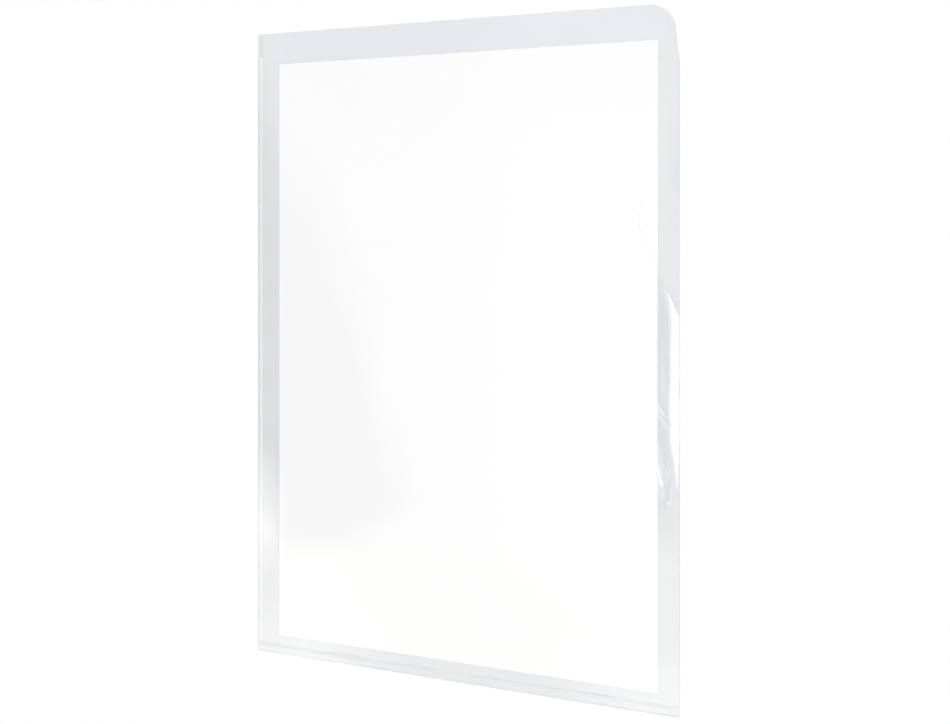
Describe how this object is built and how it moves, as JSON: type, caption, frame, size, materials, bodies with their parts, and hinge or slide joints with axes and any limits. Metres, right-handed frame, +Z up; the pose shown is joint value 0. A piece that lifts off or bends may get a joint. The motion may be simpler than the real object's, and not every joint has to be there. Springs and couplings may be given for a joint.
{
  "type": "document folder",
  "caption": "Clear plastic L-shaped document folder, welded along its left and bottom edges and open at the top and right, with a thumb cut in the front film and a loose sheet of paper inside.",
  "frame": {"origin": "middle of the folder's outline, on the underside of the rear film", "axes": "+X towards the open right edge, +Y towards the open top edge, +Z up through the layers to the front film"},
  "size_m": [0.234, 0.3228, 0.0012],
  "materials": {
    "clear_film": "clear glossy polypropylene film",
    "weld": "fused film, slightly whitened",
    "paper": "matt uncoated office paper"
  },
  "bodies": {
    "folder": {"rear_film": "clear_film", "front_film": "clear_film", "left_weld_seam": "weld", "bottom_weld_seam": "weld"},
    "free_corner": {"front_film_corner": "clear_film"},
    "sheet": {"paper_insert": "paper"}
  },
  "joints": [
    {"name": "front_film_lift", "type": "hinge", "parent": "folder", "child": "free_corner", "pos_m": [0.00245, 0.00332, 0.0011], "axis": [0.5868, -0.8097, 0], "range_deg": [0, 60], "stiffness_Nm_per_rad": 0.006},
    {"name": "paper_slide", "type": "slide", "parent": "folder", "child": "sheet", "axis": [0, 1, 0], "range_m": [0, 0.3]}
  ]
}
